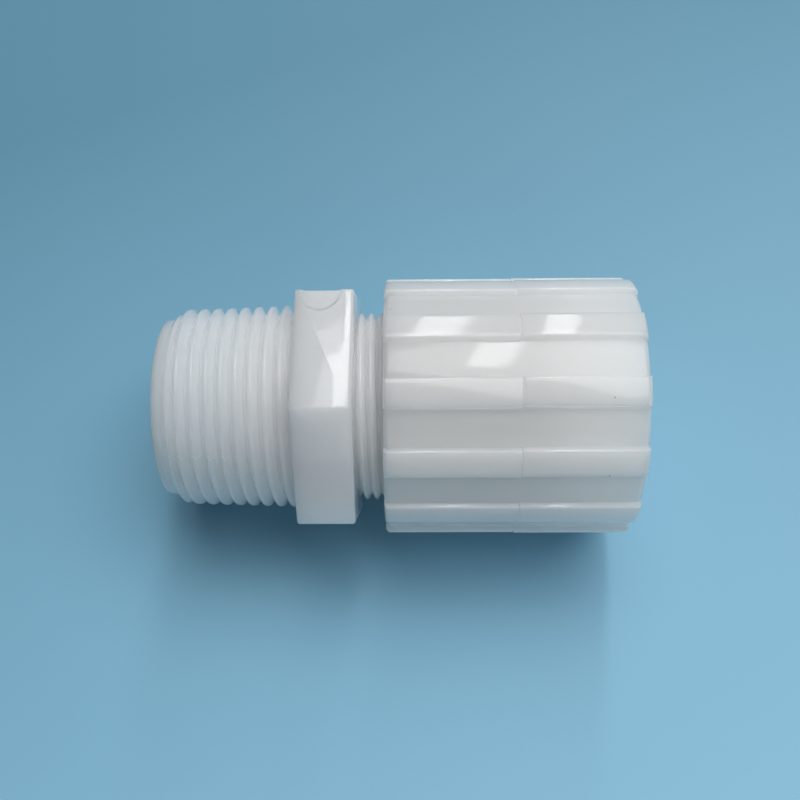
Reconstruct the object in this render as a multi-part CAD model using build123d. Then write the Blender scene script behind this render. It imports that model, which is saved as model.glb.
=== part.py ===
from build123d import *
import os
from math import atan, ceil, cos, degrees, radians, sin, tan

os.makedirs("parts", exist_ok=True)

# The flow axis is X. The origin is the centre of the pipe end's face, and the nut is towards +X.
# Angles are counted about +X from +Y towards +Z, so 90 is straight up.

# Tube and flow passage
tube_outer_diameter = 19.05
tube_clearance = 0.15
flow_bore_diameter = 15.9
bore_mouth_chamfer = 0.7

# Tapered male pipe thread, 14 turns to the inch, widening 1 in 16 on the diameter
pipe_pitch = 25.4 / 14
pipe_taper = 1 / 32
pipe_crest_diameter = 25.98
pipe_crest_flat = 0.35
pipe_first_crest = 3.36
thread_half_angle = 30.0
groove_overshoot = 0.1
lead_diameter = 23.36
lead_length = 1.3
lead_edge = 0.45
pipe_length = 17.65

# Hex flange
hex_across_flats = 29.5
hex_thickness = 7.4
hex_corner_angle = 111.3
hex_corner_radius = 0.5
hex_edge_chamfer = 0.25

# Union end: neck, blank of the fine straight thread, plain pilot, socket for the tube
neck_depth = 1.1
neck_length = 1.0
union_height = 0.9
union_length = 10.6
union_chamfer = 0.7
socket_wall = 1.825
nose_length = 19.0
socket_depth = 16.5
mouth_depth = 3.0
cone_angle = 20.0

# Ribbed union nut
nut_gap = 3.7
closing_gap = 0.7
nut_length = 31.7
inner_half_length = 16.6
nut_wall = 3.62
mould_step = 0.08
mould_turn = 0.4
rib_count = 12
rib_angle = 105.0
rib_height = 0.8
rib_land_width = 3.6
rib_draft_width = 0.2
rib_sink = 0.8
nut_edge_chamfer = 0.5
running_clearance = 0.1
nut_mouth_chamfer = 0.6
hole_clearance = 0.305
hole_chamfer = 0.7
step_room = 0.5

# Split grip ring
ring_wall = 1.25
ring_band = 1.3
ring_back_angle = 30.0
ring_tube_clearance = 0.15
ring_edge = 0.1
ring_seat_clearance = 0.05
ring_side_clearance = 0.2
ring_slot_width = 1.2
ring_slot_angle = 90.0

# Stations along the axis
hex_left = pipe_length
hex_right = hex_left + hex_thickness
thread_start = hex_right + neck_length
thread_end = thread_start + union_length
nose_end = hex_right + nose_length
tube_stop = nose_end - socket_depth
nut_left = hex_right + nut_gap
nut_right = nut_left + nut_length
mould_line = nut_left + inner_half_length
tighten_travel = nut_gap - closing_gap

# Radii and depths that follow from the sizes above
thread_depth = (pipe_pitch - pipe_crest_flat) / 2 / tan(radians(thread_half_angle))
tube_hole_radius = tube_outer_diameter / 2 + tube_clearance
mouth_radius = tube_hole_radius + mouth_depth * tan(radians(cone_angle))
pilot_radius = tube_hole_radius + socket_wall
union_radius = pilot_radius + union_height
neck_radius = union_radius - neck_depth
nut_bore_radius = union_radius + running_clearance
nut_root_radius = nut_bore_radius + nut_wall
nut_rib_radius = nut_root_radius + rib_height
nut_hole_radius = tube_outer_diameter / 2 + hole_clearance
ring_inner_radius = tube_outer_diameter / 2 + ring_tube_clearance
ring_outer_radius = ring_inner_radius + ring_wall

# The ring stands clear of its seat in the body by the travel that tightens the nut
cone_slope = tan(radians(cone_angle))
ring_tip = ring_inner_radius + ring_edge
cone_clearance = ring_seat_clearance / sin(radians(cone_angle)) + (ring_tip - tube_hole_radius) / cone_slope
ring_front = nose_end - mouth_depth + tighten_travel + cone_clearance
ring_front_length = (ring_outer_radius - ring_tip) / cone_slope
ring_back_slope = tan(radians(ring_back_angle))
ring_back_length = (ring_outer_radius - ring_tip) / ring_back_slope
ring_length = ring_front_length + ring_band + ring_back_length
ring_back = ring_front + ring_length
inner_step = nose_end + tighten_travel + step_room
ring_pocket_radius = ring_outer_radius + ring_side_clearance
pocket_apex = ring_back + ring_seat_clearance / sin(radians(ring_back_angle)) + ring_tip / ring_back_slope
pocket_cone_end = pocket_apex - nut_hole_radius / ring_back_slope
pocket_cone_start = pocket_apex - ring_pocket_radius / ring_back_slope


def turned(*points):
    """A solid of revolution about the flow axis from (x, radius) points."""
    with BuildPart() as part:
        with BuildSketch(Plane.XY):
            with BuildLine():
                Polyline(*points, close=True)
            make_face()
        revolve(axis=Axis.X)
    return part.part


def thread_groove():
    """The V-shaped tool of the pipe thread, right-handed about +X, that runs past both ends of the thread.

    Straight up, the first crest stands at its station, and the tool lies half a pitch off it.
    """
    reach = thread_depth + groove_overshoot
    half_width = reach * tan(radians(thread_half_angle))
    half_turn = pipe_pitch / 2
    first = pipe_first_crest - half_turn - pipe_pitch * ceil((pipe_first_crest - lead_length) / pipe_pitch)
    half_turns = []
    for index in range(ceil((hex_left - first) / half_turn) + 1):
        station = first + index * half_turn
        half_turns.append(
            Rot(180 * index, 0, 0)
            * Helix(
                pitch=pipe_pitch / cos(atan(pipe_taper)),
                height=half_turn,
                radius=crest_radius(station) - thread_depth,
                center=(station, 0, 0),
                direction=(1, 0, 0),
                cone_angle=degrees(atan(pipe_taper)),
            )
        )
    path = Wire(half_turns)
    with BuildSketch(Plane(origin=path @ 0, x_dir=(1, 0, 0), z_dir=(0, -1, 0))) as profile:
        with BuildLine():
            Polyline((0, 0), (-half_width, reach), (half_width, reach), close=True)
        make_face()
    return sweep(profile.sketch, path=path, is_frenet=True)


def crest_radius(station):
    return pipe_crest_diameter / 2 + (station - pipe_first_crest) * pipe_taper


def pipe_thread():
    """The tapered thread from its start chamfer to the hex."""
    start_radius = lead_diameter / 2
    chamfer_end = lead_length + crest_radius(lead_length) - start_radius
    blank = turned(
        (lead_length, 0),
        (lead_length, start_radius),
        (chamfer_end, crest_radius(chamfer_end)),
        (hex_left, crest_radius(hex_left)),
        (hex_left, 0),
    )
    return blank - thread_groove()


def hex_flange():
    with BuildPart() as flange:
        with BuildSketch(Plane.YZ.offset(hex_left)):
            radius = hex_across_flats / 2 / cos(radians(30))
            RegularPolygon(radius, 6, rotation=hex_corner_angle)
        extrude(amount=hex_thickness)
        fillet(flange.edges().filter_by(Axis.X), hex_corner_radius)
        ends = flange.edges().group_by(Axis.X)
        chamfer(ends[0] + ends[-1], hex_edge_chamfer)
    return flange.part


def body():
    lead = turned(
        (0, 0),
        (0, lead_diameter / 2 - lead_edge),
        (lead_edge, lead_diameter / 2),
        (lead_length, lead_diameter / 2),
        (lead_length, 0),
    )
    union_end = turned(
        (hex_right, 0),
        (hex_right, neck_radius),
        (thread_start, neck_radius),
        (thread_start, union_radius),
        (thread_end - union_chamfer, union_radius),
        (thread_end, union_radius - union_chamfer),
        (thread_end, pilot_radius),
        (nose_end, pilot_radius),
        (nose_end, 0),
    )
    passage = turned(
        (0, 0),
        (0, flow_bore_diameter / 2 + bore_mouth_chamfer),
        (bore_mouth_chamfer, flow_bore_diameter / 2),
        (tube_stop, flow_bore_diameter / 2),
        (tube_stop, tube_hole_radius),
        (nose_end - mouth_depth, tube_hole_radius),
        (nose_end, mouth_radius),
        (nose_end, 0),
    )
    return lead + pipe_thread() + hex_flange() + union_end - passage


def rib(outer_radius, start, end, angle):
    """One grip rib, sunk into the nut's wall, with drafted flanks and a land that follows the barrel."""
    half = rib_land_width / 2
    with BuildPart() as part:
        with BuildSketch(Plane.YZ.offset(start)):
            with BuildLine():
                Polyline(
                    (nut_root_radius - rib_sink, half + rib_draft_width),
                    (nut_root_radius, half + rib_draft_width),
                    (outer_radius, half),
                    (outer_radius, -half),
                    (nut_root_radius, -half - rib_draft_width),
                    (nut_root_radius - rib_sink, -half - rib_draft_width),
                    close=True,
                )
            make_face()
            Circle(outer_radius, mode=Mode.INTERSECT)
        extrude(amount=end - start)
    return Rot(angle, 0, 0) * part.part


def chamfered_barrel(radius, start, end):
    return turned(
        (start, 0),
        (start, radius - nut_edge_chamfer),
        (start + nut_edge_chamfer, radius),
        (end - nut_edge_chamfer, radius),
        (end, radius - nut_edge_chamfer),
        (end, 0),
    )


def nut():
    inner_radius = nut_rib_radius - mould_step
    ribs = []
    for index in range(rib_count):
        angle = rib_angle + index * 360 / rib_count
        ribs.append(rib(inner_radius, nut_left, mould_line, angle + mould_turn))
        ribs.append(rib(nut_rib_radius, mould_line, nut_right, angle))
    envelope = chamfered_barrel(nut_rib_radius, nut_left, nut_right)
    wall = chamfered_barrel(nut_root_radius, nut_left, nut_right)
    passage = turned(
        (nut_left, 0),
        (nut_left, nut_bore_radius + nut_mouth_chamfer),
        (nut_left + nut_mouth_chamfer, nut_bore_radius),
        (inner_step, nut_bore_radius),
        (inner_step, ring_pocket_radius),
        (pocket_cone_start, ring_pocket_radius),
        (pocket_cone_end, nut_hole_radius),
        (nut_right - hole_chamfer, nut_hole_radius),
        (nut_right, nut_hole_radius + hole_chamfer),
        (nut_right, 0),
    )
    return ((wall + ribs) & envelope) - passage


def grip_ring():
    """A split ring with a cone on each end."""
    shoulder = ring_front + ring_front_length
    blank = turned(
        (ring_front, ring_inner_radius),
        (ring_front, ring_tip),
        (shoulder, ring_outer_radius),
        (shoulder + ring_band, ring_outer_radius),
        (ring_back, ring_tip),
        (ring_back, ring_inner_radius),
    )
    slot = Box(
        2 * ring_length,
        ring_slot_width,
        2 * ring_outer_radius,
        align=(Align.CENTER, Align.CENTER, Align.MIN),
    )
    return blank - Pos(shoulder, 0, 0) * Rot(ring_slot_angle - 90, 0, 0) * slot


pieces = {"body": body(), "nut": nut(), "grip_ring": grip_ring()}
for name, piece in pieces.items():
    export_step(piece, f"parts/{name}.step")
    print(name, "volume", round(piece.volume, 1), "solids", len(piece.solids()))
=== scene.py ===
import math

import bpy
from mathutils import Matrix, Vector


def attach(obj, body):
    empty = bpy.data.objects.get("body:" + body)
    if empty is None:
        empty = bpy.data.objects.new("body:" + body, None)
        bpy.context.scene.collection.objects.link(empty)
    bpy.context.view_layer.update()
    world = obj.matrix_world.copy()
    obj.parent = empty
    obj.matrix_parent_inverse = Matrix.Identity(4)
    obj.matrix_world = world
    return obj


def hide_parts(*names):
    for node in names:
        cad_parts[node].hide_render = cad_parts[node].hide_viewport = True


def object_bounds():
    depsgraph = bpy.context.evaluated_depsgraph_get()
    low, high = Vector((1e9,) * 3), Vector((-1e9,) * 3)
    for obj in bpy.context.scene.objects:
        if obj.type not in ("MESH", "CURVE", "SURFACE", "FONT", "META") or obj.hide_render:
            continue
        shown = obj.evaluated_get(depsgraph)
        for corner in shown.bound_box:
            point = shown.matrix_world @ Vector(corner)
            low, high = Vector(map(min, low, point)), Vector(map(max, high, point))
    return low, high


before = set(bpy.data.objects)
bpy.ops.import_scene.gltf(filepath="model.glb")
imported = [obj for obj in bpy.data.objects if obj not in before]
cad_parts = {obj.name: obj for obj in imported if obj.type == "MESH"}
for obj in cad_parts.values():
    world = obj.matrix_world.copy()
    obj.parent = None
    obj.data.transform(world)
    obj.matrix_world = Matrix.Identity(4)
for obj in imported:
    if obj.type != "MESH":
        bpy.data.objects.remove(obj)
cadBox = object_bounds()
print("frame loaded")

mm = 0.001
roundSteps = 144
# points this close are merged, or count as lying on a cut
weldReach = 0.002 * mm
seamReach = 0.001 * mm
cutReach = 0.0001 * mm
# how far a cutting tool stands past what it cuts, in millimetres
toolReach = 1


# Small helpers for modelling along the flow axis, which is X

def deselectAll():
    for item in bpy.context.selected_objects:
        item.select_set(False)


def makeActive(piece):
    deselectAll()
    piece.select_set(True)
    bpy.context.view_layer.objects.active = piece


def placeInMesh(piece):
    # moves the piece's place, turn and size into its mesh
    makeActive(piece)
    bpy.ops.object.transform_apply(location=True, rotation=True, scale=True)


def applyModifier(piece, kind, settings):
    makeActive(piece)
    modifier = piece.modifiers.new(kind.title(), kind)
    for key, value in settings.items():
        setattr(modifier, key, value)
    bpy.ops.object.modifier_apply(modifier=modifier.name)


def combine(piece, tool, operation):
    # the tool is used up
    applyModifier(piece, "BOOLEAN", {"object": tool, "operation": operation, "solver": "EXACT"})
    bpy.data.objects.remove(tool)


def drawLine(name, points):
    # one vertex, extruded from point to point; x runs along the axis and y is the radius
    deselectAll()
    bpy.ops.mesh.primitive_plane_add(size=mm, location=(0, 0, 0))
    piece = bpy.context.object
    piece.name = name
    bpy.ops.object.mode_set(mode="EDIT")
    bpy.ops.mesh.select_mode(type="VERT")
    bpy.ops.mesh.select_all(action="SELECT")
    bpy.ops.mesh.merge(type="CENTER")
    here = Vector(points[0]).to_3d() * mm
    bpy.ops.transform.translate(value=here)
    for point in points[1:]:
        there = Vector(point).to_3d() * mm
        bpy.ops.mesh.extrude_region_move(TRANSFORM_OT_translate={"value": there - here})
        here = there
    bpy.ops.object.mode_set(mode="OBJECT")
    return piece


def closeUp(piece):
    # merges what meets and turns the faces outwards
    makeActive(piece)
    bpy.ops.object.mode_set(mode="EDIT")
    bpy.ops.mesh.select_all(action="SELECT")
    bpy.ops.mesh.remove_doubles(threshold=weldReach)
    bpy.ops.mesh.select_all(action="SELECT")
    bpy.ops.mesh.normals_make_consistent(inside=False)
    bpy.ops.object.mode_set(mode="OBJECT")


def turn(name, points):
    # a turned solid; the line starts and ends on the axis
    piece = drawLine(name, points)
    applyModifier(piece, "SCREW", {
        "axis": "X", "angle": math.tau, "steps": roundSteps, "render_steps": roundSteps,
        "use_merge_vertices": True, "merge_threshold": seamReach,
    })
    closeUp(piece)
    return piece


def roundedLine(x, radius, side, bend, count=4):
    # points of a quarter round at the outer edge of an end face; side is -1 for the left end
    points = []
    for index in range(count + 1):
        angle = math.radians(90 * index / count)
        points.append((x - side * bend * (1 - math.sin(angle)), radius - bend * (1 - math.cos(angle))))
    return points if side > 0 else points[::-1]


def cutAcross(piece, x, keep):
    # cuts the piece square to the axis and closes the cut; keep is "left" or "right"
    makeActive(piece)
    bpy.ops.object.mode_set(mode="EDIT")
    bpy.ops.mesh.select_all(action="SELECT")
    bpy.ops.mesh.bisect(
        plane_co=(x * mm, 0, 0), plane_no=(1, 0, 0), use_fill=True,
        clear_outer=keep == "left", clear_inner=keep == "right", threshold=cutReach,
    )
    bpy.ops.object.mode_set(mode="OBJECT")


threadForm = {
    "flankAngle": 30,
    # how far along and how far down the rounding of a crest bends, as shares of its size
    "bendAlong": 0.35, "bendDown": 0.38, "crownDown": 0.06,
}


def threadRod(name, thread, start, end, grow=0.0):
    # a long threaded rod, made by sending one pitch of the outline round the axis
    pitch, ease, root = thread["pitch"], thread["crestRound"], thread["rootRound"]
    bend = threadForm["bendAlong"]
    halfCrest = thread["crestWidth"] / 2
    slope = math.tan(math.radians(threadForm["flankAngle"]))
    radius = thread["crestRadius"] + grow
    depth = (pitch / 2 - halfCrest) / slope
    leftHalf = [
        (-pitch / 2, radius - depth + root),
        (-pitch / 2 + root * slope * 2, radius - depth + root * 2),
        (-halfCrest - ease * slope, radius - ease),
        (-halfCrest - ease * slope * bend, radius - ease * threadForm["bendDown"]),
        (-halfCrest + ease * bend, radius - ease * threadForm["crownDown"]),
    ]
    points = leftHalf + [(0, radius)] + [(-x, r) for x, r in reversed(leftHalf)]
    turnsBefore = math.ceil((thread["crestStation"] - start) / pitch) + 1
    turns = turnsBefore + math.ceil((end - thread["crestStation"]) / pitch) + 1
    first = thread["crestStation"] - turnsBefore * pitch
    # the line is drawn towards +Y, which is a quarter turn before straight up
    first -= pitch / 4
    piece = drawLine(name, [(first + x, r) for x, r in points])
    applyModifier(piece, "SCREW", {
        "axis": "X", "angle": math.tau, "steps": roundSteps, "render_steps": roundSteps,
        "screw_offset": pitch * mm, "iterations": turns, "use_merge_vertices": False,
    })
    closeUp(piece)
    return piece


# The body: pipe thread, hex, neck, union thread and nose in one moulding

bodySizes = {
    "leadRadius": 11.68, "leadLength": 1.3, "leadEdge": 0.45, "leadEdgeBend": 0.3,
    "pipeThread": {
        "pitch": 25.4 / 14, "crestRadius": 12.99, "crestStation": 3.36,
        "crestWidth": 0.42, "crestRound": 0.16, "rootRound": 0.05,
    },
    "pipeTaper": 1 / 32,
    "hexLeft": 17.65, "hexRight": 25.05, "hexFlats": 29.5, "hexCorner": 111.3, "hexEase": 0.35,
    "neckRadius": 11.3, "threadStart": 25.35, "threadEnd": 36.6,
    "unionThread": {
        "pitch": 1.25, "crestRadius": 12.4, "crestStation": 25.9,
        "crestWidth": 0.3, "crestRound": 0.08, "rootRound": 0.04,
    },
    "pilotRadius": 11.5, "noseEnd": 44.05,
    "flowRadius": 7.95, "flowChamfer": 0.7,
    "tubeStop": 27.55, "socketRadius": 9.675, "mouthStart": 41.05, "mouthRadius": 10.767,
    "gateStation": 20.8, "gateAngle": 51.3, "gateRadius": 2.6, "gateDepth": 0.14, "gateToolLength": 10,
    "noseEase": 0.2, "mouthSlope": 0.36,
    # the plain cores under the threads, and how far joined lengths run into each other
    "coreRadius": 11.0, "unionCoreRadius": 11.1, "overlap": 0.5, "leadOverlap": 0.05,
    # the rod that the pipe thread is cut from, and the cone that gives the thread its start
    "rodStart": -1, "rodEnd": 20, "coneLength": 3, "coneEnd": 30,
}
hexSides = 6


def makePipeThread(sizes):
    thread = sizes["pipeThread"]
    rod = threadRod("pipeThread", thread, sizes["rodStart"], sizes["rodEnd"])
    # widens the rod towards the hex
    widthAtOrigin = thread["crestRadius"] - thread["crestStation"] * sizes["pipeTaper"]
    xs = [v.co.x for v in rod.data.vertices]
    applyModifier(rod, "SIMPLE_DEFORM", {
        "deform_method": "TAPER", "deform_axis": "X",
        "factor": sizes["pipeTaper"] / (widthAtOrigin * mm) * (max(xs) - min(xs)),
    })
    scale = widthAtOrigin / thread["crestRadius"]
    rod.scale = (1, scale, scale)
    placeInMesh(rod)
    cutAcross(rod, sizes["leadLength"], "right")
    cutAcross(rod, sizes["hexLeft"] + sizes["overlap"], "left")
    lead, start = sizes["leadRadius"], sizes["leadLength"]
    length, coneEnd = sizes["coneLength"], sizes["coneEnd"]
    startCone = turn("startCone", [
        (start - toolReach, 0), (start - toolReach, lead - toolReach), (start, lead),
        (start + length, lead + length), (coneEnd, lead + length), (coneEnd, 0),
    ])
    combine(rod, startCone, "INTERSECT")
    return rod


def makeHex(sizes, shrink=0.0):
    deselectAll()
    bpy.ops.mesh.primitive_cylinder_add(
        vertices=hexSides, radius=(sizes["hexFlats"] / 2 - shrink) / math.cos(math.pi / hexSides) * mm,
        depth=(sizes["hexRight"] - sizes["hexLeft"]) * mm,
        location=((sizes["hexLeft"] + sizes["hexRight"]) / 2 * mm, 0, 0),
        rotation=(0, math.radians(90), 0),
    )
    hexPiece = bpy.context.object
    hexPiece.name = "hex"
    placeInMesh(hexPiece)
    # the cylinder's topmost corner is turned to where a corner of the hex is seen
    corner = max((v.co for v in hexPiece.data.vertices), key=lambda place: place.z)
    now = math.degrees(math.atan2(corner.z, corner.y))
    hexPiece.data.transform(Matrix.Rotation(math.radians(sizes["hexCorner"] - now), 4, "X"))
    applyModifier(hexPiece, "BEVEL", {
        "width": sizes["hexEase"] * mm, "segments": 4,
        "limit_method": "ANGLE", "angle_limit": math.radians(30),
    })
    return hexPiece


def makeGateMark(sizes):
    # the round step that the moulding gate leaves across one corner of the hex
    deselectAll()
    angle = math.radians(sizes["gateAngle"])
    outwards = Vector((0, math.cos(angle), math.sin(angle)))
    across = sizes["hexFlats"] / 2
    bpy.ops.mesh.primitive_cylinder_add(
        vertices=roundSteps // 2, radius=sizes["gateRadius"] * mm, depth=sizes["gateToolLength"] * mm,
        location=Vector((sizes["gateStation"], 0, 0)) * mm + outwards * across * mm,
        rotation=outwards.to_track_quat("Z", "X").to_euler(),
    )
    mark = bpy.context.object
    mark.name = "gateMark"
    placeInMesh(mark)
    combine(mark, makeHex(sizes, sizes["gateDepth"]), "DIFFERENCE")
    return mark


def makeCore(sizes):
    # the turned length that the threads and the hex are joined to
    lead, edge, nose = sizes["leadRadius"], sizes["leadEdge"], sizes["noseEnd"]
    edgeBend = edge * sizes["leadEdgeBend"]
    leadEnd = sizes["leadLength"] + sizes["leadOverlap"]
    neckStart = sizes["hexLeft"] + toolReach
    neckEnd = sizes["threadStart"] + sizes["overlap"]
    pilotStart = sizes["threadEnd"] - sizes["overlap"]
    return turn("fittingBody", [
        (0, 0), (0, lead - edge), (edgeBend, lead - edgeBend), (edge, lead),
        (leadEnd, lead), (leadEnd, sizes["coreRadius"]),
        (neckStart, sizes["coreRadius"]), (neckStart, sizes["neckRadius"]),
        (neckEnd, sizes["neckRadius"]), (neckEnd, sizes["unionCoreRadius"]),
        (pilotStart, sizes["unionCoreRadius"]), (pilotStart, sizes["pilotRadius"]),
        *roundedLine(nose, sizes["pilotRadius"], 1, sizes["noseEase"], count=3), (nose, 0),
    ])


def makePassage(sizes):
    # the flow bore, the tube's socket and its coned mouth, as a tool
    flow, chamfer, nose = sizes["flowRadius"], sizes["flowChamfer"], sizes["noseEnd"]
    return turn("passage", [
        (-toolReach, 0), (-toolReach, flow + chamfer + toolReach), (chamfer, flow),
        (sizes["tubeStop"], flow), (sizes["tubeStop"], sizes["socketRadius"]),
        (sizes["mouthStart"], sizes["socketRadius"]), (nose, sizes["mouthRadius"]),
        (nose + toolReach, sizes["mouthRadius"] + sizes["mouthSlope"] * toolReach), (nose + toolReach, 0),
    ])


def makeBody(sizes):
    core = makeCore(sizes)
    combine(core, makePipeThread(sizes), "UNION")
    hexPiece = makeHex(sizes)
    combine(hexPiece, makeGateMark(sizes), "DIFFERENCE")
    combine(core, hexPiece, "UNION")
    union = threadRod("unionThread", sizes["unionThread"], sizes["threadStart"], sizes["threadEnd"])
    cutAcross(union, sizes["threadStart"], "right")
    cutAcross(union, sizes["threadEnd"], "left")
    combine(core, union, "UNION")
    combine(core, makePassage(sizes), "DIFFERENCE")
    return core


fittingBody = makeBody(bodySizes)
print("body modelled:", len(fittingBody.data.polygons), "faces")


# The nut: a ribbed barrel with a small step in its ribs where the mould's two halves met

nutSizes = {
    "left": 28.75, "right": 60.45, "mouldLine": 45.35,
    "radius": 16.92, "rootRadius": 16.12, "innerDrop": 0.08, "innerTurn": 0.4,
    "ribCount": 12, "ribAngle": 105.0, "landWidth": 3.6, "draft": 0.2,
    "ribEase": 0.22, "endRound": 0.75,
    "clearance": 0.1, "threadEnd": 40.0, "boreRadius": 12.5, "mouthChamfer": 0.6,
    "innerStep": 47.55, "pocketRadius": 11.125, "pocketConeStart": 48.684, "pocketConeEnd": 50.927,
    "holeRadius": 9.83, "holeChamfer": 0.7,
    # how deep the ribs are set into the barrel, and the strips that let them bend round it
    "ribSink": 1.0, "stripWidth": 0.4, "stripsPerSide": 4,
    # how far neighbouring lengths and tools overlap
    "ribOverlap": 0.02, "envelopeRoom": 0.01, "boreOverlap": 0.3,
}


def makeRib(sizes, radius, start, end):
    # one rib, modelled straight and then wrapped round the barrel
    deselectAll()
    base = sizes["rootRadius"] - sizes["ribSink"]
    pickRoom = 0.1 * mm
    bpy.ops.mesh.primitive_cube_add(size=1, location=((start + end) / 2 * mm, 0, (base + radius) / 2 * mm))
    rib = bpy.context.object
    rib.name = "rib"
    rib.scale = ((end - start) * mm, sizes["landWidth"] * mm, (radius - base) * mm)
    placeInMesh(rib)
    # widens the foot for the draft of the flanks
    for vertex in rib.data.vertices:
        if vertex.co.z < base * mm + pickRoom:
            share = (radius - base) / (radius - sizes["rootRadius"])
            vertex.co.y += math.copysign(sizes["draft"] * share * mm, vertex.co.y)
    bpy.ops.object.mode_set(mode="EDIT")
    bpy.ops.mesh.select_mode(type="EDGE")
    bpy.ops.mesh.select_all(action="DESELECT")
    bpy.ops.object.mode_set(mode="OBJECT")
    for edge in rib.data.edges:
        a, b = (rib.data.vertices[i].co for i in edge.vertices)
        top = min(a.z, b.z) > radius * mm - pickRoom
        upright = abs(a.z - b.z) > pickRoom
        edge.select = top or upright
    bpy.ops.object.mode_set(mode="EDIT")
    bpy.ops.mesh.bevel(offset=sizes["ribEase"] * mm, segments=4, profile=0.5, affect="EDGES")
    for strip in range(-sizes["stripsPerSide"], sizes["stripsPerSide"] + 1):
        cutPlace = (0, strip * sizes["stripWidth"] * mm, 0)
        bpy.ops.mesh.select_all(action="SELECT")
        bpy.ops.mesh.bisect(plane_co=cutPlace, plane_no=(0, 1, 0), threshold=cutReach)
    bpy.ops.object.mode_set(mode="OBJECT")
    for vertex in rib.data.vertices:
        angle = vertex.co.y / (radius * mm)
        height = vertex.co.z
        vertex.co.y = -height * math.sin(angle)
        vertex.co.z = height * math.cos(angle)
    closeUp(rib)
    return rib


def ribRing(sizes, radius, start, end, turned):
    # the first rib is modelled and the others are copies, each with its own mesh
    ribs = [makeRib(sizes, radius, start, end)]
    for index in range(1, sizes["ribCount"]):
        rib = ribs[0].copy()
        rib.data = ribs[0].data.copy()
        bpy.context.collection.objects.link(rib)
        ribs.append(rib)
    for index, rib in enumerate(ribs):
        angle = sizes["ribAngle"] + turned + index * 360 / sizes["ribCount"] - 90
        rib.data.transform(Matrix.Rotation(math.radians(angle), 4, "X"))
    makeActive(ribs[0])
    for rib in ribs:
        rib.select_set(True)
    bpy.ops.object.join()
    return bpy.context.object


def makeBarrel(sizes, name, radius):
    left, right, ease = sizes["left"], sizes["right"], sizes["endRound"]
    return turn(name, [
        (left, 0), *roundedLine(left, radius, -1, ease), *roundedLine(right, radius, 1, ease), (right, 0),
    ])


def makeNutMouth(sizes):
    # the cone that opens the thread's mouth, as a tool
    left, chamfer, bore = sizes["left"], sizes["mouthChamfer"], sizes["boreRadius"]
    mouth = bore + chamfer
    return turn("nutPassage", [
        (left - toolReach, 0), (left - toolReach, mouth + toolReach),
        (left + chamfer, bore), (left + mouth, 0),
    ])


def makeNutPassage(sizes):
    # the plain bore, the grip ring's pocket and the tube's hole, as a tool
    bore, pocket, hole = sizes["boreRadius"], sizes["pocketRadius"], sizes["holeRadius"]
    right, chamfer = sizes["right"], sizes["holeChamfer"]
    boreStart = sizes["threadEnd"] - sizes["boreOverlap"]
    return turn("nutPassage", [
        (boreStart, 0), (boreStart, bore), (sizes["innerStep"], bore),
        (sizes["innerStep"], pocket), (sizes["pocketConeStart"], pocket),
        (sizes["pocketConeEnd"], hole), (right - chamfer, hole),
        (right + toolReach, hole + chamfer + toolReach), (right + toolReach, 0),
    ])


def makeNut(sizes):
    left, line, radius = sizes["left"], sizes["mouldLine"], sizes["radius"]
    nut = makeBarrel(sizes, "unionNut", sizes["rootRadius"])
    inner = ribRing(sizes, radius - sizes["innerDrop"], left, line, sizes["innerTurn"])
    outer = ribRing(sizes, radius, line - sizes["ribOverlap"], sizes["right"], 0)
    combine(nut, inner, "UNION")
    combine(nut, outer, "UNION")
    combine(nut, makeBarrel(sizes, "envelope", radius + sizes["envelopeRoom"]), "INTERSECT")
    combine(nut, makeNutMouth(sizes), "DIFFERENCE")
    rodStart, rodEnd = left - toolReach, sizes["threadEnd"]
    thread = threadRod("nutThread", bodySizes["unionThread"], rodStart, rodEnd, sizes["clearance"])
    cutAcross(thread, rodStart, "right")
    cutAcross(thread, rodEnd, "left")
    combine(nut, thread, "DIFFERENCE")
    combine(nut, makeNutPassage(sizes), "DIFFERENCE")
    return nut


unionNut = makeNut(nutSizes)
print("nut modelled:", len(unionNut.data.polygons), "faces")

sharpAngle = 28  # edges that turn by more than this stay crisp
for piece in (fittingBody, unionNut):
    makeActive(piece)
    bpy.ops.object.shade_smooth_by_angle(angle=math.radians(sharpAngle))


# Materials

class Value:
    # wraps a node's socket, so that shader maths reads as a formula
    def __init__(self, graph, socket):
        self.graph = graph
        self.socket = socket

    def __add__(self, other):
        return self.graph.maths("ADD", self, other)

    def __sub__(self, other):
        return self.graph.maths("SUBTRACT", self, other)

    def __rsub__(self, other):
        return self.graph.maths("SUBTRACT", other, self)

    def __mul__(self, other):
        return self.graph.maths("MULTIPLY", self, other)

    def __gt__(self, other):
        return self.graph.maths("GREATER_THAN", self, other)

    def __lt__(self, other):
        return self.graph.maths("LESS_THAN", self, other)

    __radd__ = __add__
    __rmul__ = __mul__


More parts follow.
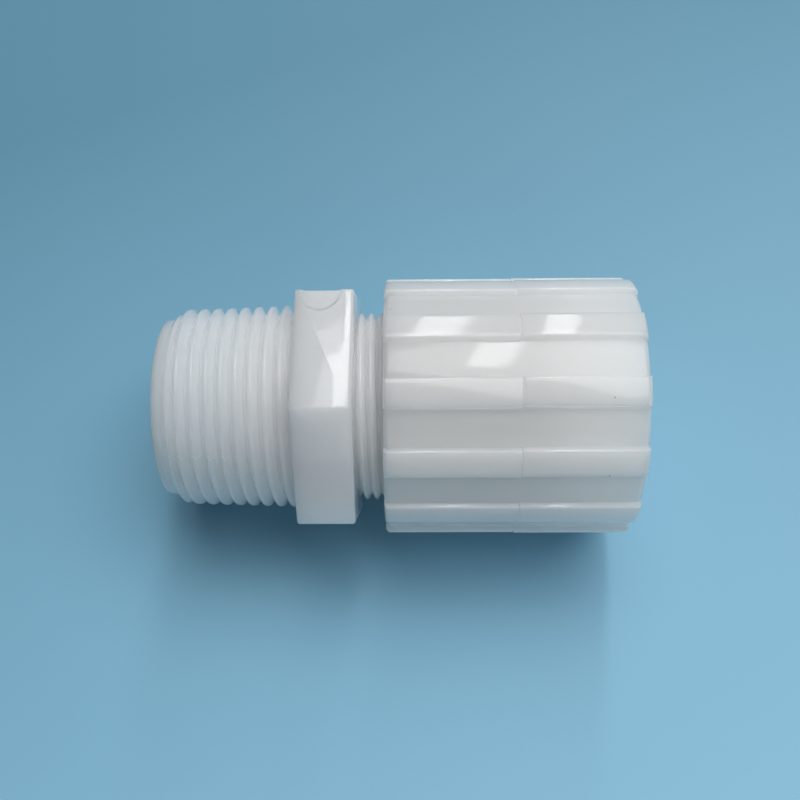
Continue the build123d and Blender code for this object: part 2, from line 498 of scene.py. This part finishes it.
class Graph:
    def __init__(self, name):
        self.material = bpy.data.materials.new(name)
        self.material.use_nodes = True
        self.tree = self.material.node_tree
        self.tree.nodes.clear()

    def node(self, kind, settings, values):
        made = self.tree.nodes.new("ShaderNode" + kind)
        for key, value in settings.items():
            setattr(made, key, value)
        for key, value in values.items():
            if isinstance(value, Value):
                self.tree.links.new(value.socket, made.inputs[key])
            else:
                made.inputs[key].default_value = value
        return made

    def take(self, kind, settings, values, output=0):
        return Value(self, self.node(kind, settings, values).outputs[output])

    def maths(self, operation, first, second):
        return self.take("Math", {"operation": operation}, {0: first, 1: second})

    def mixColour(self, share, first, second):
        # 6 and 7 are the node's two colour inputs, and 2 is its colour output
        return self.take("Mix", {"data_type": "RGBA"}, {0: share, 6: first, 7: second}, 2)

    def place(self, stretch=(1, 1, 1)):
        objectPlace = self.take("TexCoord", {}, {}, "Object")
        return self.take("Mapping", {}, {"Vector": objectPlace, "Scale": stretch})

    def noise(self, size, detail=2, roughness=0.5, stretch=(1, 1, 1)):
        # size is the width of a patch in millimetres; a stretch below 1 lengthens it along that axis
        return self.take("TexNoise", {}, {
            "Vector": self.place(stretch), "Scale": 1 / (size * mm), "Detail": detail, "Roughness": roughness,
        })

    def finish(self, shader):
        output = self.tree.nodes.new("ShaderNodeOutputMaterial")
        self.tree.links.new(shader.outputs[0], output.inputs["Surface"])
        return self.material


plasticLook = {
    "body": {"light": (0.815, 0.815, 0.83, 1), "deep": (0.755, 0.77, 0.795, 1)},
    "nut": {"light": (0.905, 0.895, 0.88, 1), "deep": (0.865, 0.86, 0.85, 1)},
    "ring": {"light": (0.92, 0.90, 0.87, 1), "deep": (0.87, 0.855, 0.83, 1)},
    # painted light: the floor's blue that shows through the thin thread wall, painted into the colour
    "paintedFloorBlue": (0.60, 0.72, 0.79, 1), "paintedBlueStart": 17.5, "paintedBlueEnd": 4.0, "paintedBlueShare": 0.6,
    # painted light: a pale tone painted on the end rim, in the thread valleys and on the parting ticks
    "paintedLightTone": (0.97, 0.96, 0.95, 1), "paintedRimWidth": 0.55,
    "crestAt": 13.1, "valleyAt": 11.7, "paintedValleyLightShare": 0.75,
    "partingAngle": 140.4, "partingWidth": 0.5, "partingEnd": 12.8, "partingHeight": 0.06,
    "partingSlant": 0.02, "partingHighlightShare": 0.8,
    # the specks' radius is a share of their spacing
    "speck": (0.16, 0.14, 0.12, 1), "speckSpacing": 5, "speckRadius": 0.02, "speckShare": 0.55,
    # painted highlight along the rib edges of the nut
    "edgeHighlightTone": (1.0, 1.0, 1.0, 1), "edgeHighlightShare": 1.92, "edgeWidth": 0.3, "edgeFrom": 16.1,
    "scatter": (1.0, 0.97, 0.94), "scatterDepth": 10.0 * mm,
    "refraction": 1.42, "roughness": 0.02, "roughnessSpread": 0.07, "roughnessStreaks": 0.02,
    # widths of patches and heights of the relief, in millimetres
    "cloudSize": 7, "sheenSize": 2.5, "streakSize": 0.5, "streakHeight": 0.003,
    "sinkSize": 9, "sinkHeight": 0.11, "rippleSize": 3.2, "rippleHeight": 0.022,
    "grainSize": 0.35, "grainHeight": 0.003, "edgePatchSize": 5,
}


def milkyPlastic(name, shades, detail=None):
    # detail adds what only one piece has to the colour and the relief, and painted light and highlights with
    # it
    look = plasticLook
    graph = Graph(name)
    clouds = graph.noise(look["cloudSize"], detail=3)
    streaks = graph.noise(look["streakSize"], roughness=0.6, stretch=(0.15, 1, 1))
    sinks = graph.noise(look["sinkSize"], detail=1, roughness=0.4, stretch=(0.5, 1, 1))
    ripples = graph.noise(look["rippleSize"])
    grain = graph.noise(look["grainSize"], detail=3, roughness=0.6)
    colour = graph.mixColour(clouds, shades["deep"], shades["light"])
    relief = sinks * look["sinkHeight"] * mm + ripples * look["rippleHeight"] * mm
    relief = relief + grain * look["grainHeight"] * mm + streaks * look["streakHeight"] * mm
    if detail:
        colour, relief = detail(graph, colour, relief)
    cells = graph.take("TexVoronoi", {"feature": "F1"}, {
        "Vector": graph.place(), "Scale": 1 / (look["speckSpacing"] * mm), "Randomness": 1.0,
    }, "Distance")
    colour = graph.mixColour((cells < look["speckRadius"]) * look["speckShare"], colour, look["speck"])
    sheen = graph.noise(look["sheenSize"], detail=3)
    roughness = look["roughness"] + sheen * look["roughnessSpread"] + streaks * look["roughnessStreaks"]
    bump = graph.take("Bump", {}, {"Strength": 1.0, "Distance": 1.0, "Height": relief})
    shader = graph.node("BsdfPrincipled", {"subsurface_method": "RANDOM_WALK"}, {
        "Base Color": colour, "Roughness": roughness, "Normal": bump,
        "IOR": look["refraction"], "Subsurface Weight": 1.0,
        "Subsurface Radius": look["scatter"], "Subsurface Scale": look["scatterDepth"],
    })
    return graph.finish(shader)


def onAxis(graph):
    # the place along the flow axis, the angle about it and the radius
    parts = graph.node("SeparateXYZ", {}, {"Vector": graph.place()})
    along, across, up = (Value(graph, output) for output in parts.outputs)
    angle = graph.maths("ARCTAN2", up, across)
    return along, angle, graph.maths("SQRT", across * across + up * up, 0)


def paintedRibEdgeLines(graph, colour, relief):
    # painted highlight: fine bright lines are painted along each rib's edges, standing in for the light that
    # edges of milky plastic gather
    look = plasticLook
    along, angle, radius = onAxis(graph)
    step = math.tau / nutSizes["ribCount"]
    turned = (along < nutSizes["mouldLine"] * mm) * math.radians(nutSizes["innerTurn"])
    # the count starts a whole turn back, which keeps the remainder above zero
    start = math.radians(nutSizes["ribAngle"]) - step / 2 - math.tau
    within = graph.maths("MODULO", angle - turned - start, step) - step / 2
    fromMiddle = graph.maths("ABSOLUTE", within, 0) * radius
    fromEdge = graph.maths("ABSOLUTE", fromMiddle - nutSizes["landWidth"] / 2 * mm, 0)
    edge = (fromEdge < look["edgeWidth"] / 2 * mm) * (radius > look["edgeFrom"] * mm)
    strength = graph.noise(look["edgePatchSize"], stretch=(0.3, 1, 1)) * look["edgeHighlightShare"]
    # painted highlight: the rib edges are mixed towards a pale tone
    return graph.mixColour(edge * strength, colour, look["edgeHighlightTone"]), relief


def threadEnd(graph, colour, relief):
    # painted light: the floor's blue that shows through the thin wall is painted into the colour, the valleys
    # and the end rim are painted paler, and the mould's parting line leaves a raised tick on each crest with
    # a painted highlight
    look = plasticLook
    along, angle, radius = onAxis(graph)
    thin = graph.take("MapRange", {"interpolation_type": "SMOOTHSTEP"}, {
        "Value": along, "From Min": look["paintedBlueStart"] * mm, "From Max": look["paintedBlueEnd"] * mm,
        "To Min": 0.0, "To Max": look["paintedBlueShare"],
    })
    # painted light: the floor's blue, stronger towards the open end of the pipe thread
    colour = graph.mixColour(thin, colour, look["paintedFloorBlue"])
    # painted light: the valleys are painted paler to offset the shade that falls in them
    valley = graph.take("MapRange", {}, {
        "Value": radius, "From Min": look["crestAt"] * mm, "From Max": look["valleyAt"] * mm,
        "To Min": 0.0, "To Max": look["paintedValleyLightShare"],
    })
    colour = graph.mixColour(valley, colour, look["paintedLightTone"])
    # painted highlight: the end rim is painted pale
    colour = graph.mixColour(along < look["paintedRimWidth"] * mm, colour, look["paintedLightTone"])
    pitch = bodySizes["pipeThread"]["pitch"]
    slant = graph.maths("MODULO", along * (1 / mm), pitch) * look["partingSlant"]
    offset = graph.maths("ABSOLUTE", angle + slant - math.radians(look["partingAngle"]), 0)
    ridge = (offset < math.radians(look["partingWidth"] / 2)) * (along < look["partingEnd"] * mm)
    # painted highlight on each parting tick; the tick's raised relief is real
    colour = graph.mixColour(ridge * look["partingHighlightShare"], colour, look["paintedLightTone"])
    return colour, relief + ridge * look["partingHeight"] * mm


def dress(piece, material):
    piece.data.materials.clear()
    piece.data.materials.append(material)


dress(fittingBody, milkyPlastic("milkyBodyPlastic", plasticLook["body"], threadEnd))
dress(unionNut, milkyPlastic("milkyNutPlastic", plasticLook["nut"], paintedRibEdgeLines))
dress(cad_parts["grip_ring"], milkyPlastic("whiteRingPlastic", plasticLook["ring"]))
print("materials made")


# Where each piece rides

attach(fittingBody, "body")
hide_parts("body")
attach(unionNut, "nut")
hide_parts("nut")


# Floor, lights and camera

studio = {
    # painted light: the floor's near and far tones paint a fall of light across the floor
    "floorSize": 3.0, "floorNear": (0.36, 0.72, 0.97, 1), "floorFar": (0.125, 0.335, 0.475, 1),
    "floorFall": 0.11, "floorFarShare": 0.6, "floorSlant": 0.35,
    "floorRoughness": 0.6, "grainSize": 0.6, "grainHeight": 0.02, "grainStrength": 0.4,
    "sky": {"power": 8.2, "size": (1.1, 0.8), "place": (0.30, 0.30, 0.96), "colour": (1, 1, 1)},
    "window": {"power": 2.1, "size": (0.11, 0.95), "place": (0.11, 0.63, 0.75), "colour": (1, 1, 1)},
    "fill": {"power": 1.9, "size": (1.0, 0.7), "place": (0.0, -1.0, 0.45), "colour": (1, 0.97, 0.93)},
    "lightTarget": (0.035, 0, 0),
    "worldColour": (0.45, 0.85, 1.0, 1), "worldStrength": 0.03,
}


def makeFloor():
    # the fitting lies on the floor
    deselectAll()
    lowest = cadBox[0][2]
    bpy.ops.mesh.primitive_plane_add(size=studio["floorSize"], location=(0, 0, lowest))
    floor = bpy.context.object
    floor.name = "floor"
    placeInMesh(floor)
    graph = Graph("paleFloor")
    parts = graph.node("SeparateXYZ", {}, {"Vector": graph.place()})
    along, across = (Value(graph, parts.outputs[index]) for index in (0, 1))
    # painted light: the floor is paler towards the front and the right, a painted fall of light across it
    fall = studio["floorFall"]
    nearness = graph.take("MapRange", {}, {
        "Value": along * studio["floorSlant"] - across,
        "From Min": -fall * studio["floorFarShare"], "From Max": fall, "To Min": 0.0, "To Max": 1.0,
    })
    tone = graph.mixColour(nearness, studio["floorFar"], studio["floorNear"])
    grain = graph.noise(studio["grainSize"]) * studio["grainHeight"] * mm
    bump = graph.take("Bump", {}, {"Strength": studio["grainStrength"], "Distance": 1.0, "Height": grain})
    shader = graph.node("BsdfPrincipled", {}, {
        "Base Color": tone, "Roughness": studio["floorRoughness"], "Normal": bump,
    })
    dress(floor, graph.finish(shader))


def addPanel(name, settings):
    light = bpy.data.lights.new(name, "AREA")
    light.shape = "RECTANGLE"
    light.size, light.size_y = settings["size"]
    light.energy = settings["power"]
    light.color = settings["colour"]
    panel = bpy.data.objects.new(name, light)
    bpy.context.collection.objects.link(panel)
    place = Vector(settings["place"])
    panel.location = place
    panel.rotation_euler = (Vector(studio["lightTarget"]) - place).to_track_quat("-Z", "Y").to_euler()


makeFloor()
for name in ("sky", "window", "fill"):
    addPanel(name, studio[name])

world = bpy.data.worlds.new("room")
bpy.context.scene.world = world
world.use_nodes = True
background = world.node_tree.nodes["Background"]
background.inputs["Color"].default_value = studio["worldColour"]
background.inputs["Strength"].default_value = studio["worldStrength"]

photoView = {
    "place": (32.53, -46.73, 125.29), "tilt": 18.839, "pan": 0.835, "roll": -0.233,
    "focalPixels": 999.25, "frameSide": 800, "centreDrop": 34.1,
    "sensorWidth": 36, "nearLimit": 5,
}


def makeCamera(view):
    camera = bpy.data.objects.new("photoCamera", bpy.data.cameras.new("photoCamera"))
    bpy.context.collection.objects.link(camera)
    camera.location = Vector(view["place"]) * mm
    camera.rotation_mode = "ZYX"
    camera.rotation_euler = [math.radians(view[key]) for key in ("tilt", "pan", "roll")]
    camera.data.sensor_width = view["sensorWidth"]
    camera.data.lens = camera.data.sensor_width * view["focalPixels"] / view["frameSide"]
    camera.data.shift_y = view["centreDrop"] / view["frameSide"]
    camera.data.clip_start = view["nearLimit"] * mm
    bpy.context.scene.camera = camera


makeCamera(photoView)
bpy.context.scene.view_settings.view_transform = "Standard"
print("stage set")
